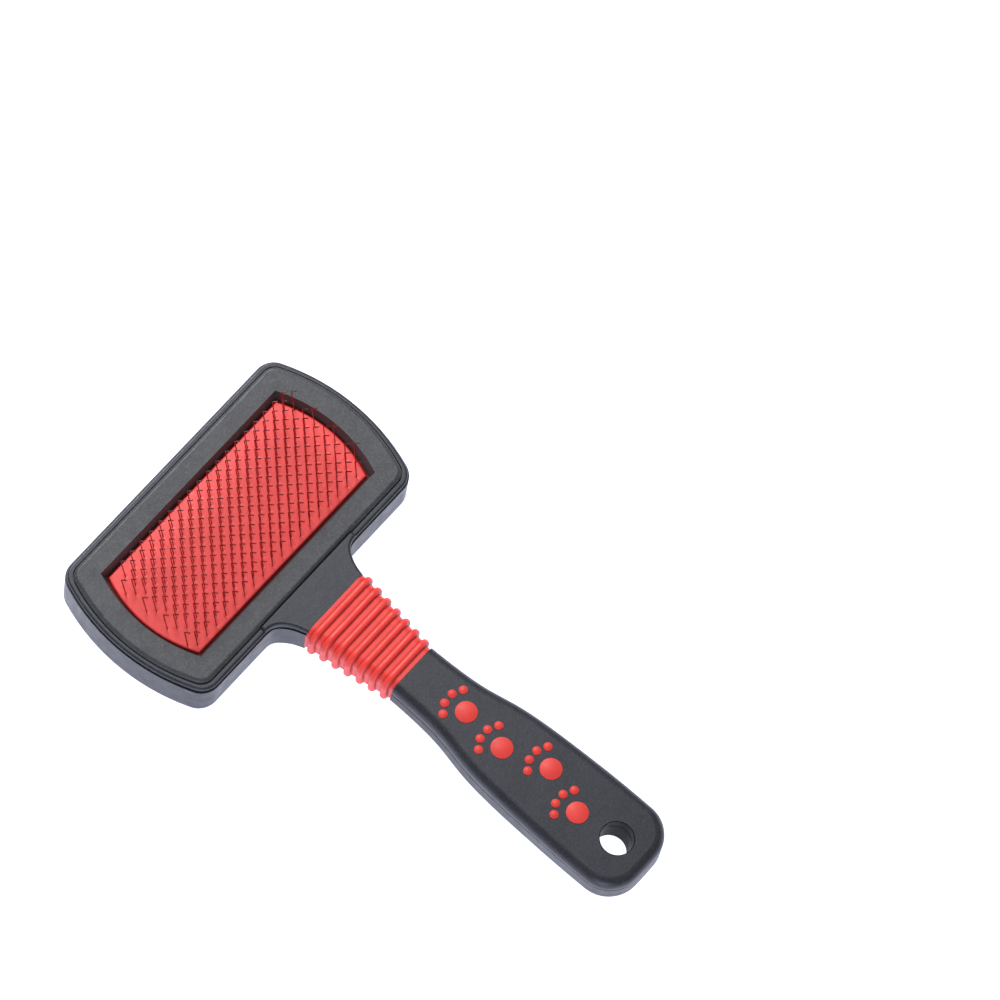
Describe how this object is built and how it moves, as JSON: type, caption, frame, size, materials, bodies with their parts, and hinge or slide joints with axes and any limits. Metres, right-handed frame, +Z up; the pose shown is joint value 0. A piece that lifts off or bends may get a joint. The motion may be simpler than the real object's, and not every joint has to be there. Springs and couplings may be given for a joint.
{
  "type": "slicker brush",
  "caption": "Pet slicker brush: a broad head with bent wire pins on a cushioned rubber pad, a ribbed soft grip sleeve and a flat handle with a hanging hole.",
  "frame": {"origin": "middle of the footprint's bounding box, on the surface that the brush lies on, pins up", "axes": "+X along the handle towards the hanging hole, +Y across the head, +Z up out of the pin pad"},
  "size_m": [0.183, 0.1034, 0.0252],
  "materials": {
    "black_plastic": "fine moulded grain, satin rim",
    "soft_grip": "soft satin elastomer",
    "pad_rubber": "smooth satin rubber",
    "ply": "plain woven cotton",
    "card": "stiff pressed board",
    "foam": "open-cell foam",
    "pin_wire": "bright drawn wire"
  },
  "bodies": {
    "body": {"rear_shell": "black_plastic", "front_shell": "black_plastic", "bezel_frame": "black_plastic", "grip_sleeve": "soft_grip", "paw_print_1": "soft_grip", "paw_print_2": "soft_grip", "paw_print_3": "soft_grip", "paw_print_4": "soft_grip", "foam_cushion": "foam"},
    "pad_module": {"pin_pad": "pad_rubber", "pad_ply": "ply", "backing_card": "card", "pin_row_1": "pin_wire", "pin_row_2": "pin_wire", "pin_row_3": "pin_wire", "pin_row_4": "pin_wire", "pin_row_5": "pin_wire", "pin_row_6": "pin_wire", "pin_row_7": "pin_wire", "pin_row_8": "pin_wire"}
  },
  "joints": [
    {"name": "pad_press", "type": "slide", "parent": "body", "child": "pad_module", "axis": [0, 0, -1], "range_m": [0, 0.0015], "stiffness_N_per_m": 3000, "springref_m": -0.0005, "deforming": ["foam_cushion"]}
  ]
}
